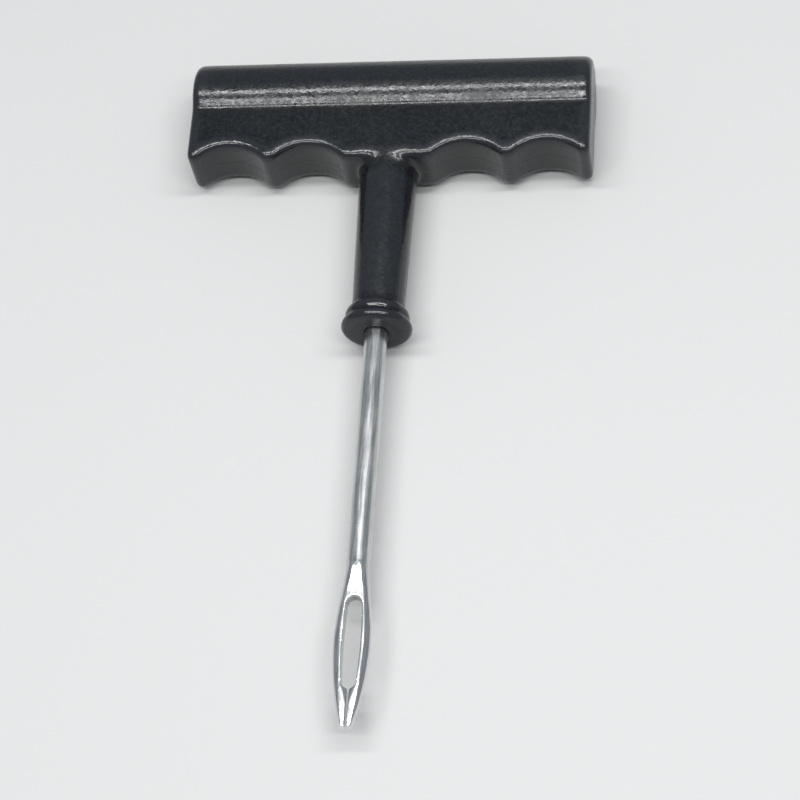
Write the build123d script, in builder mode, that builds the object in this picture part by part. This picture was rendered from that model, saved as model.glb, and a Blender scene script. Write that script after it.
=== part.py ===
from build123d import *

import os
from math import radians, sqrt, tan

# Tyre plug insertion tool: a moulded plastic T-grip round a plated steel needle with a split eye.
# Millimetres. The tool lies flat: the T-bar runs along X, the needle points to -Y and +Z is up.
# The origin is at the middle of the tool's length and width, on the surface that the bar rests on.
# Distances named "..._at" run from the bar's axis towards the tip of the needle.

# ---- Driving dimensions: overall ----
bar_length = 82.0
bar_radius = 8.0
tip_at = 137.0

# ---- Driving dimensions: grip ----
web_thickness = 12.4
web_reach = 17.5
land_half_width = 8.0
finger_pitch = 16.2
finger_depth = 3.1
finger_valley_radius = 9.6
fingers_each_side = 2
bar_end_round = 1.6
web_edge_round = 1.4
web_corner_round = 1.4

stem_root_at = 10.0
stem_root_radius = 6.1
stem_neck_radius = 5.2

collar_at = 50.2
collar_length = 4.7
collar_radius = 6.1
ring_crown_radius = 6.45
ring_round = 1.25
lip_crown_radius = 7.1
lip_round = 1.1

# ---- Driving dimensions: needle ----
shank_radius = 2.25

spade_end_at = -1.0
spade_shoulder_at = 9.0
spade_width = 8.6
spade_thickness = 2.8
spade_neck_length = 5.0
spade_corner_round = 1.5

eye_start_at = 104.6
eye_widest_at = 119.5
eye_half_width = 3.58
tip_half_width = 1.25
eye_swell_half_height = 1.85
tip_swell_half_height = 1.45
eye_half_thickness = 1.5
tip_half_thickness = 1.1
eye_sections = 12

slot_top_at = 111.4
slot_top_width = 3.0
slot_widest_at = 121.0
slot_widest = 3.4
slot_bottom_at = 129.0
slot_bottom_width = 2.7
slot_point_at = 129.7
bevel_apex_at = 133.4
bevel_floor = 0.35
bevel_slope = 33.0
split_width = 0.35

# ---- Worked out from the driving dimensions ----
tool_length = bar_radius + tip_at
bar_y = tool_length / 2 - bar_radius
axis_height = bar_radius
end_x = bar_length / 2
collar_end_at = collar_at + collar_length
slot_springing_at = slot_top_at + slot_top_width / 2

# The bevel's groove starts above the needle's middle plane at the slot and comes out of the face at its
# apex. Its two sides slope away from the middle, and its section is drawn larger than the metal it cuts.
bevel_length = 2 * (bevel_apex_at - slot_bottom_at)
bevel_rise = shank_radius
bevel_half_width = bevel_rise / tan(radians(bevel_slope))
bevel_share = (bevel_apex_at - slot_top_at) / (tip_at - slot_top_at)
bevel_apex_height = eye_half_thickness + (tip_half_thickness - eye_half_thickness) * bevel_share
bevel_climb = Vector(0, slot_bottom_at - bevel_apex_at, bevel_apex_height - bevel_floor).normalized()

# Each finger valley is an arc that runs tangent into the rounded tips on both sides of it. Half a pitch
# and the depth fix the sum of the two radii, so the tip's radius follows from the valley's. The arcs
# meet on the line between their centres, finger_meet_x to either side of the valley's middle.
finger_tips_end_x = land_half_width + fingers_each_side * finger_pitch
finger_valley_y = -web_reach + finger_depth
finger_radii_sum = ((finger_pitch / 2) ** 2 + finger_depth ** 2) / (2 * finger_depth)
finger_tip_share = 1 - finger_valley_radius / finger_radii_sum
finger_meet_x = finger_pitch / 2 * (1 - finger_tip_share)
finger_meet_y = -web_reach + finger_depth * finger_tip_share

# The plane of the bar and the needle, with its origin on the bar's axis: x along the bar, -y to the tip.
middle = Plane(origin=(0, bar_y, axis_height), x_dir=(1, 0, 0), z_dir=(0, 0, 1))
# A section along the needle: x from the bar's axis to the tip, y up from the needle's axis.
lengthwise = Plane(origin=(0, bar_y, axis_height), x_dir=(0, -1, 0), z_dir=(-1, 0, 0))
needle_axis = Axis((0, bar_y, axis_height), (0, -1, 0))
bevel_groove = Plane(
    origin=(0, bar_y - slot_bottom_at, axis_height + bevel_floor),
    x_dir=(1, 0, 0),
    z_dir=bevel_climb,
)


def across(distance):
    """The plane square to the needle at a distance from the bar's axis, facing the tip."""
    return Plane(origin=(0, bar_y - distance, axis_height), x_dir=(1, 0, 0), z_dir=(0, -1, 0))


def eased(start, end, share):
    """A value between start and end that leaves and arrives level, for a share from 0 to 1."""
    return start + (end - start) * share * share * (3 - 2 * share)


def on_scalloped_side(edge):
    """Whether an edge of the web lies towards its scalloped side, not inside the bar."""
    return edge.center().Y < bar_y - finger_depth


def eye_width_at(distance):
    """Half the eye's width: it swells out of the shank and closes on one long arc to the tip."""
    if distance < eye_widest_at:
        share = (distance - eye_start_at) / (eye_widest_at - eye_start_at)
        return eased(shank_radius, eye_half_width, share)
    run = tip_at - eye_widest_at
    drop = eye_half_width - tip_half_width
    radius = (run ** 2 + drop ** 2) / (2 * drop)
    return eye_half_width - radius + sqrt(radius ** 2 - (distance - eye_widest_at) ** 2)


def eye_height_at(distance):
    """Half the eye's height before its two faces are pressed flat."""
    if distance < slot_top_at:
        share = (distance - eye_start_at) / (slot_top_at - eye_start_at)
        return eased(shank_radius, eye_swell_half_height, share)
    share = (distance - slot_top_at) / (tip_at - slot_top_at)
    return eased(eye_swell_half_height, tip_swell_half_height, share)


# ==== Needle: shank, spade inside the grip, pressed eye with a split tip ====
with BuildPart() as needle:
    # Shank
    with BuildSketch(across(spade_shoulder_at)):
        Circle(shank_radius)
    extrude(amount=eye_start_at - spade_shoulder_at)

    # Spade: the rod is hammered flat where the plastic grips it, so it can't turn or pull out.
    with BuildSketch(middle.offset(-spade_thickness / 2)) as spade_outline:
        with BuildLine():
            Polyline(
                (-spade_width / 2, -spade_end_at),
                (spade_width / 2, -spade_end_at),
                (spade_width / 2, -spade_shoulder_at),
                (shank_radius, -spade_shoulder_at - spade_neck_length),
                (-shank_radius, -spade_shoulder_at - spade_neck_length),
                (-spade_width / 2, -spade_shoulder_at),
                close=True,
            )
        make_face()
        fillet(spade_outline.vertices().group_by(Axis.Y)[-1], spade_corner_round)
    extrude(amount=spade_thickness)

    # Eye: the round rod spreads into an oval that narrows again to the tip.
    for step in range(eye_sections):
        station = eye_start_at + (tip_at - eye_start_at) * step / (eye_sections - 1)
        with BuildSketch(across(station)):
            Ellipse(eye_width_at(station), eye_height_at(station))
    loft()

    # The press leaves two flat faces. They sink in gently, so each starts as a sharp V on the round shank.
    with BuildSketch(lengthwise):
        with BuildLine():
            for side in (-1, 1):
                Line((spade_end_at, side * shank_radius), (eye_start_at, side * shank_radius))
                Spline(
                    (eye_start_at, side * shank_radius),
                    (slot_top_at, side * eye_half_thickness),
                    tangents=((1, 0), (1, 0)),
                )
                Line((slot_top_at, side * eye_half_thickness), (tip_at, side * tip_half_thickness))
            Line((spade_end_at, -shank_radius), (spade_end_at, shank_radius))
            Line((tip_at, -tip_half_thickness), (tip_at, tip_half_thickness))
        make_face()
    extrude(amount=spade_width, both=True, mode=Mode.INTERSECT)

    # Slot: a round arch at the top, sides that swell a little, and a blunt point at the bottom.
    with BuildSketch(middle.offset(-shank_radius)):
        with BuildLine():
            ThreePointArc(
                (-slot_top_width / 2, -slot_springing_at),
                (0, -slot_top_at),
                (slot_top_width / 2, -slot_springing_at),
            )
            for side in (-1, 1):
                Spline(
                    (side * slot_top_width / 2, -slot_springing_at),
                    (side * slot_widest / 2, -slot_widest_at),
                    (side * slot_bottom_width / 2, -slot_bottom_at),
                )
                Line((side * slot_bottom_width / 2, -slot_bottom_at), (0, -slot_point_at))
        make_face()
    extrude(amount=2 * shank_radius, mode=Mode.SUBTRACT)

    # Bevel: below the slot a V groove in each face rises to the surface and guides the strip out of the eye.
    with BuildSketch(bevel_groove):
        with BuildLine():
            Polyline((-bevel_half_width, bevel_rise), (0, 0), (bevel_half_width, bevel_rise), close=True)
        make_face()
    bevel_cut = extrude(amount=bevel_length, mode=Mode.SUBTRACT)
    mirror(bevel_cut, about=middle, mode=Mode.SUBTRACT)

    # Split: a saw cut from the slot through the tip leaves two prongs.
    with BuildSketch(across(slot_bottom_at)):
        Rectangle(split_width, 2 * shank_radius)
    extrude(amount=tip_at - slot_bottom_at, mode=Mode.SUBTRACT)
needle.part.label = "needle"


# ==== Grip: bar, scalloped web, stem and collar in one moulding round the needle ====
with BuildPart() as grip:
    # Web: a flat slab whose lower edge has two finger scallops on each side of the stem.
    with BuildSketch(middle.offset(-web_thickness / 2)):
        with BuildLine():
            Polyline((-end_x, -web_reach), (-end_x, 0), (end_x, 0), (end_x, -web_reach))
            for side in (-1, 1):
                for finger in range(fingers_each_side):
                    valley_x = side * (land_half_width + (finger + 0.5) * finger_pitch)
                    ThreePointArc(
                        (valley_x - finger_meet_x, finger_meet_y),
                        (valley_x, finger_valley_y),
                        (valley_x + finger_meet_x, finger_meet_y),
                    )
                    for flank in (-1, 1):
                        TangentArc(
                            (valley_x + flank * finger_pitch / 2, -web_reach),
                            (valley_x + flank * finger_meet_x, finger_meet_y),
                            tangent=(-flank, 0),
                        )
                Line((side * finger_tips_end_x, -web_reach), (side * end_x, -web_reach))
            Line((-land_half_width, -web_reach), (land_half_width, -web_reach))
        make_face()
    extrude(amount=web_thickness)
    lower_corners = grip.edges().filter_by(Axis.Z).filter_by(on_scalloped_side).group_by(Axis.X)
    fillet(lower_corners[0] + lower_corners[-1], web_corner_round)
    fillet(grip.edges().filter_by(Plane.XY).filter_by(on_scalloped_side), web_edge_round)

    # Bar: a round rib along the back of the web, with softened ends.
    with BuildSketch(across(0)) as half_bar:
        Rectangle(bar_length, bar_radius, align=(Align.CENTER, Align.MIN))
        fillet(half_bar.vertices().group_by(Axis.Y)[-1], bar_end_round)
    revolve(axis=Axis((0, bar_y, axis_height), (1, 0, 0)))

    # Stem and collar: the stem tapers to the neck, and the collar ends in a ring and a wider lip.
    with BuildSketch(lengthwise):
        with BuildLine():
            Polyline(
                (stem_root_at, 0),
                (stem_root_at, stem_root_radius),
                (collar_at, stem_neck_radius),
                (collar_at, collar_radius),
                (collar_end_at, collar_radius),
                (collar_end_at, 0),
                close=True,
            )
        make_face()
        with Locations((collar_at + ring_round, ring_crown_radius - ring_round)):
            Circle(ring_round)
        with Locations((collar_end_at - lip_round, lip_crown_radius - lip_round)):
            Circle(lip_round)
    revolve(axis=needle_axis)

    # The moulding closes on the needle with no gap.
    add(needle.part, mode=Mode.SUBTRACT)
grip.part.label = "grip"


os.makedirs("parts", exist_ok=True)
export_step(needle.part, "parts/needle.step")
export_step(grip.part, "parts/grip.step")
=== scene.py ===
import math

import bmesh
import bpy
import numpy as np
from mathutils import Matrix, Vector


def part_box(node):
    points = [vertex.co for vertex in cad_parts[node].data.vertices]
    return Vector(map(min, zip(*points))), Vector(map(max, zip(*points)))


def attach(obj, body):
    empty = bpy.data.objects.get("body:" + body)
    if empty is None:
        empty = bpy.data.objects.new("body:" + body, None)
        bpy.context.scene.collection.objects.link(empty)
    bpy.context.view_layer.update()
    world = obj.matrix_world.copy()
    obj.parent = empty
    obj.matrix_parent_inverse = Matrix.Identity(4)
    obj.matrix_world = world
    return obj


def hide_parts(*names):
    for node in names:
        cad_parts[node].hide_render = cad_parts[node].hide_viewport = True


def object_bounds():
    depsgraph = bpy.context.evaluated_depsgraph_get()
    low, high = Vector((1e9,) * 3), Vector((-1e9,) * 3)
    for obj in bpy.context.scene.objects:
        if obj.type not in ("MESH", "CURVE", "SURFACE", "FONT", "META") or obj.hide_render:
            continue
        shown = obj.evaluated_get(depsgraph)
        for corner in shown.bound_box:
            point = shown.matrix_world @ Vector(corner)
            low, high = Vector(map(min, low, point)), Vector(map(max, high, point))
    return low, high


# Looks of the tyre plug insertion tool: a black moulded T-grip with a fine grain and a smooth ringed collar,
# and a plated steel needle. Everything is in metres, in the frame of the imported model.

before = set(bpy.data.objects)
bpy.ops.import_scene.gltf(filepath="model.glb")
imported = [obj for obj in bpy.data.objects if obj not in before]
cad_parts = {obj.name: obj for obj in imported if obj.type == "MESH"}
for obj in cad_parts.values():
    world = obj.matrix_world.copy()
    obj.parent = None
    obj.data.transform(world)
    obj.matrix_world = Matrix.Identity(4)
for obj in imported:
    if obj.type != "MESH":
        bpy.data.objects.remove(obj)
cad_low, cad_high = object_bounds()

MM = 0.001

# ---- Places along the tool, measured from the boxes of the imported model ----
grip_low, grip_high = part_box("grip")
needle_low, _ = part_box("needle")
web_reach = 17.5 * MM
collar_length = 4.9 * MM
eye_length = 32.4 * MM

axis_height = grip_high.z / 2
web_edge_y = grip_high.y - axis_height - web_reach
collar_end_y = grip_low.y
collar_top_y = collar_end_y + collar_length
eye_start_y = needle_low.y + eye_length

# ---- Surface grids ----
grip_grid = 0.28 * MM
needle_grid = 0.12 * MM

# ---- Softening: rounds of relaxing, more of them where the real edges are rounder ----
collar_rounds = 6
head_rounds = 20
foot_rounds = 50
needle_rounds = 5
head_start_y = web_edge_y - 4.0 * MM
head_full_y = web_edge_y - 1.5 * MM
foot_half_width = 4.5 * MM
foot_half_length = 2.0 * MM
foot_fade = 2.0 * MM

# ---- Slow waves of the cooled plastic ----
sink_depth = 0.03 * MM
sink_wavelength = 14.0 * MM
sink_waves = 9
sink_seed = 5

# ---- Edges and hollows: wear on the edges, painted shade in the hollows ----
edge_rounds = 40
edge_reach = 0.12 * MM

# ---- Changes of finish, and depths of the fine relief ----
collar_fade = 0.3 * MM
pressed_fade = 2.0 * MM
grain_depth = 0.022 * MM
parting_line_depth = 0.035 * MM
parting_line_foot = 0.16 * MM
parting_line_crest = 0.04 * MM
streak_depth = 0.003 * MM
streaks_left_by_press = 0.4
hairline_depth = 0.001 * MM
ripple_depth = 0.004 * MM

# ---- Camera: the photograph's viewpoint and direction, with a longer lens ----
camera_place = Vector((0.0804, -0.2408, 0.4482))
camera_forward = Vector((-0.1481, 0.4665, -0.8720))
camera_up = Vector((0.0067, 0.8822, 0.4708))
sensor_width = 36.0
lens = 118.0
nearest_seen = 0.01

# ---- Studio ----
floor_half_width = 4.0
sky_colour = (0.86, 0.93, 1.0, 1)
sky_strength = 0.37

# ---- Node sockets and ranges ----
# The Mix node repeats its socket names for numbers, vectors and colours, so the colour ones go by place.
mix_first_colour = 6
mix_second_colour = 7
mix_colour_result = 2
usual_noise = (0.3, 0.7)


# ==== Mesh work ====
def coordinates(mesh):
    """The mesh's points as rows of x, y, z."""
    points = np.empty(len(mesh.vertices) * 3)
    mesh.vertices.foreach_get("co", points)
    return points.reshape(-1, 3)


def directions(mesh):
    """The outward direction at each of the mesh's points."""
    normals = np.empty(len(mesh.vertices) * 3)
    mesh.vertices.foreach_get("normal", normals)
    return normals.reshape(-1, 3)


def set_coordinates(mesh, points):
    mesh.vertices.foreach_set("co", points.ravel())
    mesh.update()


def relaxed(mesh, rounds):
    """The mesh's points after each has moved half way to the middle of its neighbours, several times over."""
    points = coordinates(mesh)
    ends = np.empty(len(mesh.edges) * 2, dtype=np.int64)
    mesh.edges.foreach_get("vertices", ends)
    first, second = ends.reshape(-1, 2).T
    neighbours = np.bincount(ends, minlength=len(points))
    for _ in range(rounds):
        for axis in range(3):
            values = points[:, axis]
            total = np.bincount(first, weights=values[second], minlength=len(points))
            total += np.bincount(second, weights=values[first], minlength=len(points))
            points[:, axis] = (values + total / neighbours) / 2
    return points


def eased(values, start, end):
    """How far the values are from start to end, as 0 to 1 with a gentle beginning and end."""
    share = np.clip((values - start) / (end - start), 0, 1)
    return share * share * (3 - 2 * share)


def softened_grip(mesh):
    """The moulding's points: a crisp collar, a softer T-shaped head, and a stem whose foot flows into it."""
    points = relaxed(mesh, collar_rounds)
    across, along, _ = points.T.copy()
    head = eased(along, head_start_y, head_full_y)
    foot = eased(abs(across), foot_half_width + foot_fade, foot_half_width)
    foot *= eased(abs(along - web_edge_y), foot_half_length + foot_fade, foot_half_length)
    for rounds, share in ((head_rounds, head), (foot_rounds, foot)):
        points += (relaxed(mesh, rounds) - points) * share[:, None]
    return points


def undulation(points, wavelength, waves, seed):
    """Slow random waves over the points, from -1 to 1."""
    random = np.random.default_rng(seed)
    total = np.zeros(len(points))
    for _ in range(waves):
        direction = random.normal(size=3)
        direction /= np.linalg.norm(direction)
        pace = 2 * math.pi / (wavelength * random.uniform(0.6, 1.6))
        total += np.sin(points @ direction * pace + random.uniform(0, 2 * math.pi))
    return total / waves


def mark_edges(mesh):
    """Stores how far each point stands out of its surroundings: above 0.5 on edges, below it in hollows."""
    offset = coordinates(mesh) - relaxed(mesh, edge_rounds)
    height = np.einsum("ij,ij->i", offset, directions(mesh))
    mark = mesh.attributes.new("standing_out", "FLOAT", "POINT")
    mark.data.foreach_set("value", np.clip(0.5 + height / edge_reach, 0, 1))


def on_even_grid(node, name, spacing):
    """A closed copy of a CAD node, made of small even quads that can be softened and can carry relief."""
    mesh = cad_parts[node].data.copy()
    welded = bmesh.new()
    welded.from_mesh(mesh)
    bmesh.ops.remove_doubles(welded, verts=welded.verts, dist=spacing / 100)
    welded.to_mesh(mesh)
    welded.free()
    piece = bpy.data.objects.new(name, mesh)
    bpy.context.scene.collection.objects.link(piece)
    grid = piece.modifiers.new("grid", "REMESH")
    grid.mode = "VOXEL"
    grid.voxel_size = spacing
    bpy.context.view_layer.update()
    piece.data = bpy.data.meshes.new_from_object(piece.evaluated_get(bpy.context.evaluated_depsgraph_get()))
    piece.modifiers.clear()
    piece.data.name = name
    piece.data.materials.clear()
    piece.data.shade_smooth()
    return piece


# ==== Material helpers ====
class Recipe:
    """A node-based material under construction: short calls that add one node each and join it up."""

    def __init__(self, name):
        self.material = bpy.data.materials.new(name)
        self.material.use_nodes = True
        self.nodes = self.material.node_tree.nodes
        self.links = self.material.node_tree.links
        self.shader = self.nodes["Principled BSDF"]
        self.place = self.nodes.new("ShaderNodeTexCoord").outputs["Object"]

    def put(self, socket, value):
        """Joins another node's output to the socket, or sets the socket to a plain value."""
        if isinstance(value, bpy.types.NodeSocket):
            self.links.new(value, socket)
        else:
            socket.default_value = value

    def set(self, name, value):
        """Gives one of the shader's own inputs its value."""
        self.put(self.shader.inputs[name], value)

    def stretched(self, scale):
        """The object's coordinates in metres, scaled by an amount for each axis."""
        node = self.nodes.new("ShaderNodeMapping")
        self.links.new(self.place, node.inputs["Vector"])
        node.inputs["Scale"].default_value = scale
        return node.outputs["Vector"]

    def noise(self, scale, detail=3.0, roughness=0.5, place=None):
        """Cloudy noise with so many waves to the metre."""
        node = self.nodes.new("ShaderNodeTexNoise")
        self.links.new(place or self.place, node.inputs["Vector"])
        node.inputs["Scale"].default_value = scale
        node.inputs["Detail"].default_value = detail
        node.inputs["Roughness"].default_value = roughness
        return node.outputs["Fac"]

    def cells(self, scale, smoothness):
        """Rounded pits, so many to the metre."""
        node = self.nodes.new("ShaderNodeTexVoronoi")
        node.feature = "SMOOTH_F1"
        self.links.new(self.place, node.inputs["Vector"])
        node.inputs["Scale"].default_value = scale
        node.inputs["Smoothness"].default_value = smoothness
        return node.outputs["Distance"]

    def axis(self, letter):
        """One of the object's coordinates, in metres."""
        node = self.nodes.new("ShaderNodeSeparateXYZ")
        self.links.new(self.place, node.inputs["Vector"])
        return node.outputs[letter]

    def attribute(self, name):
        """A value stored on the mesh."""
        node = self.nodes.new("ShaderNodeAttribute")
        node.attribute_name = name
        return node.outputs["Fac"]

    def calculate(self, operation, first, second=0.0):
        node = self.nodes.new("ShaderNodeMath")
        node.operation = operation
        self.put(node.inputs[0], first)
        self.put(node.inputs[1], second)
        return node.outputs["Value"]

    def plus(self, first, second):
        return self.calculate("ADD", first, second)

    def minus(self, first, second):
        return self.calculate("SUBTRACT", first, second)

    def times(self, first, second):
        return self.calculate("MULTIPLY", first, second)

    def absolute(self, value):
        return self.calculate("ABSOLUTE", value)

    def between(self, value, low, high, to_low=0.0, to_high=1.0):
        """Value's place between low and high, eased, and laid out from to_low to to_high."""
        node = self.nodes.new("ShaderNodeMapRange")
        node.interpolation_type = "SMOOTHSTEP"
        self.links.new(value, node.inputs["Value"])
        limits = {"From Min": low, "From Max": high, "To Min": to_low, "To Max": to_high}
        for name, limit in limits.items():
            self.put(node.inputs[name], limit)
        return node.outputs["Result"]

    def spread(self, noise, to_low=0.0, to_high=1.0):
        """A noise's usual range laid out from to_low to to_high."""
        return self.between(noise, *usual_noise, to_low, to_high)

    def mix(self, share, first, second):
        """A colour between first and second."""
        node = self.nodes.new("ShaderNodeMix")
        node.data_type = "RGBA"
        self.put(node.inputs["Factor"], share)
        self.put(node.inputs[mix_first_colour], first)
        self.put(node.inputs[mix_second_colour], second)
        return node.outputs[mix_colour_result]

    def relief(self, height, depth, below=None):
        """Bumps of a real depth in metres, laid over the relief below."""
        node = self.nodes.new("ShaderNodeBump")
        node.inputs["Distance"].default_value = depth
        self.links.new(height, node.inputs["Height"])
        if below:
            self.links.new(below, node.inputs["Normal"])
        return node.outputs["Normal"]


# ==== Materials ====
def grip_plastic():
    """Black moulded plastic: spark-eroded grain and satin sheen, but smooth and glossier on the collar."""
    recipe = Recipe("grip_plastic_moulded")
    along = recipe.axis("Y")
    grained = recipe.between(along, collar_top_y - collar_fade, collar_top_y + collar_fade)
    end_face = recipe.between(along, collar_end_y + collar_fade, collar_end_y + collar_fade / 3)
    standing_out = recipe.attribute("standing_out")
    worn = recipe.between(standing_out, 0.62, 0.95)
    hollow_shade_and_dullness = recipe.between(standing_out, 0.42, 0.15)

    mottle = recipe.between(recipe.noise(1500.0, detail=3.0, roughness=0.6), 0.38, 0.70)
    colour = recipe.mix(mottle, (0.003, 0.004, 0.005, 1), (0.010, 0.012, 0.015, 1))
    colour = recipe.mix(recipe.times(worn, 0.35), colour, (0.026, 0.029, 0.034, 1))
    # Painted shade: hollows and creases are darkened in the base colour.
    colour = recipe.mix(recipe.times(hollow_shade_and_dullness, 0.6), colour, (0.006, 0.006, 0.007, 1))
    recipe.set("Base Color", colour)

    cloud = recipe.noise(70.0, detail=2.0)
    satin = recipe.spread(recipe.noise(900.0, detail=3.0), 0.17, 0.30)
    satin = recipe.plus(satin, recipe.spread(cloud, -0.03, 0.04))
    satin = recipe.minus(satin, recipe.times(worn, 0.06))
    smooth = recipe.spread(cloud, 0.11, 0.17)
    smooth = recipe.plus(smooth, recipe.times(end_face, 0.3))
    recipe.set("Roughness", recipe.plus(recipe.times(grained, recipe.minus(satin, smooth)), smooth))
    recipe.set("Specular IOR Level", 0.45)

    grit = recipe.times(recipe.noise(2600.0, detail=1.0), 0.5)
    grain = recipe.times(recipe.plus(recipe.cells(1900.0, smoothness=0.6), grit), grained)
    off_middle = recipe.absolute(recipe.minus(recipe.axis("Z"), axis_height))
    parting_line = recipe.between(off_middle, parting_line_foot, parting_line_crest)
    surface = recipe.relief(parting_line, parting_line_depth)
    surface = recipe.relief(grain, grain_depth, surface)
    recipe.set("Normal", surface)
    return recipe.material


def plated_steel():
    """Bright plating over drawn wire: fine lengthwise streaks, glossier where pressed, duller in hollows,
    with painted shade darkening them.
    """
    recipe = Recipe("plated_steel_drawn")
    pressed = recipe.between(recipe.axis("Y"), eye_start_y + pressed_fade, eye_start_y - pressed_fade)
    standing_out = recipe.attribute("standing_out")
    worn = recipe.between(standing_out, 0.6, 0.95)
    hollow_shade_and_dullness = recipe.between(standing_out, 0.42, 0.2)

    lengthwise = recipe.stretched((2600.0, 130.0, 2600.0))
    streaks = recipe.noise(1.0, detail=3.0, roughness=0.55, place=lengthwise)
    colour = recipe.mix(recipe.spread(streaks), (0.47, 0.48, 0.48, 1), (0.66, 0.67, 0.67, 1))
    colour = recipe.mix(recipe.times(worn, 0.6), colour, (0.82, 0.82, 0.82, 1))
    # Painted shade: the slot, bevels and other hollows are darkened in the base colour; their roughness also
    # rises below.
    colour = recipe.mix(recipe.times(hollow_shade_and_dullness, 0.75), colour, (0.19, 0.19, 0.20, 1))
    recipe.set("Base Color", colour)
    recipe.set("Metallic", 1.0)

    cloud = recipe.noise(140.0, detail=3.0, roughness=0.55)
    roughness = recipe.spread(cloud, 0.23, 0.31)
    roughness = recipe.minus(roughness, recipe.times(pressed, 0.10))
    roughness = recipe.plus(roughness, recipe.spread(streaks, -0.04, 0.05))
    roughness = recipe.plus(roughness, recipe.times(hollow_shade_and_dullness, 0.2))
    recipe.set("Roughness", roughness)

    ridges = recipe.times(streaks, recipe.between(pressed, 0.0, 1.0, 1.0, streaks_left_by_press))
    hairlines = recipe.noise(1.0, detail=1.0, place=recipe.stretched((9000.0, 500.0, 9000.0)))
    surface = recipe.relief(ridges, streak_depth)
    surface = recipe.relief(hairlines, hairline_depth, surface)
    surface = recipe.relief(cloud, ripple_depth, surface)
    recipe.set("Normal", surface)
    return recipe.material


def pale_floor():
    """A matt, nearly white studio floor with the faintest unevenness."""
    recipe = Recipe("pale_floor")
    cloud = recipe.noise(6.0, detail=3.0)
    recipe.set("Base Color", recipe.mix(cloud, (0.50, 0.50, 0.495, 1), (0.52, 0.52, 0.515, 1)))
    recipe.set("Roughness", recipe.spread(cloud, 0.6, 0.7))
    return recipe.material


# ==== Pieces ====
def make_grip():
    """The moulding: the CAD shape with softly rounded edges and the slight hollows of cooled plastic."""
    piece = on_even_grid("grip", "grip_moulding", grip_grid)
    set_coordinates(piece.data, softened_grip(piece.data))
    points = coordinates(piece.data)
    sink = sink_depth * (1 + undulation(points, sink_wavelength, sink_waves, sink_seed)) / 2
    set_coordinates(piece.data, points - directions(piece.data) * sink[:, None])
    mark_edges(piece.data)
    piece.data.materials.append(grip_plastic())
    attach(piece, "root")
    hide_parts("grip")


def make_needle():
    """The steel: the CAD shape with the worn-in edges of plated metal."""
    piece = on_even_grid("needle", "needle_steel", needle_grid)
    set_coordinates(piece.data, relaxed(piece.data, needle_rounds))
    mark_edges(piece.data)
    piece.data.materials.append(plated_steel())
    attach(piece, "root")
    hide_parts("needle")


# ==== Stage ====
def make_floor():
    half = floor_half_width
    corners = [(-half, -half, 0), (half, -half, 0), (half, half, 0), (-half, half, 0)]
    mesh = bpy.data.meshes.new("floor")
    mesh.from_pydata(corners, [], [(0, 1, 2, 3)])
    floor = bpy.data.objects.new("floor", mesh)
    bpy.context.scene.collection.objects.link(floor)
    mesh.materials.append(pale_floor())


def aimed(place, forward, up):
    """A matrix for a lamp or camera at a place, looking along forward."""
    back = -forward.normalized()
    right = up.cross(back).normalized()
    turn = Matrix((right, back.cross(right), back)).transposed()
    return Matrix.Translation(place) @ turn.to_4x4()


def make_softbox(name, place, width, height, brightness):
    """A soft rectangular lamp, its width along X, that shines from a place on the middle of the tool."""
    lamp = bpy.data.lights.new(name, "AREA")
    lamp.shape = "RECTANGLE"
    lamp.size = width
    lamp.size_y = height
    lamp.energy = 4 * width * height * brightness
    softbox = bpy.data.objects.new(name, lamp)
    bpy.context.scene.collection.objects.link(softbox)
    middle = (cad_low + cad_high) / 2
    softbox.matrix_world = aimed(Vector(place), middle - Vector(place), Vector((0, 1, 0)))


def make_light():
    """A broad panel behind, two narrow strips whose reflections run along the bar, and an even sky."""
    make_softbox("back_panel", (0.12, 0.28, 1.00), width=0.60, height=0.42, brightness=0.50)
    make_softbox("overhead_strip", (0.05, 0.070, 0.70), width=0.90, height=0.070, brightness=16.0)
    make_softbox("front_strip", (0.05, -0.25, 0.70), width=0.80, height=0.070, brightness=16.0)
    world = bpy.data.worlds.new("studio")
    world.use_nodes = True
    sky = world.node_tree.nodes["Background"]
    sky.inputs["Color"].default_value = sky_colour
    sky.inputs["Strength"].default_value = sky_strength
    bpy.context.scene.world = world


def make_camera():
    camera = bpy.data.objects.new("camera", bpy.data.cameras.new("camera"))
    bpy.context.scene.collection.objects.link(camera)
    camera.data.sensor_width = sensor_width
    camera.data.lens = lens
    camera.data.clip_start = nearest_seen
    camera.matrix_world = aimed(camera_place, camera_forward, camera_up)
    bpy.context.scene.camera = camera


make_grip()
make_needle()
make_floor()
make_light()
make_camera()
bpy.context.scene.view_settings.view_transform = "Standard"
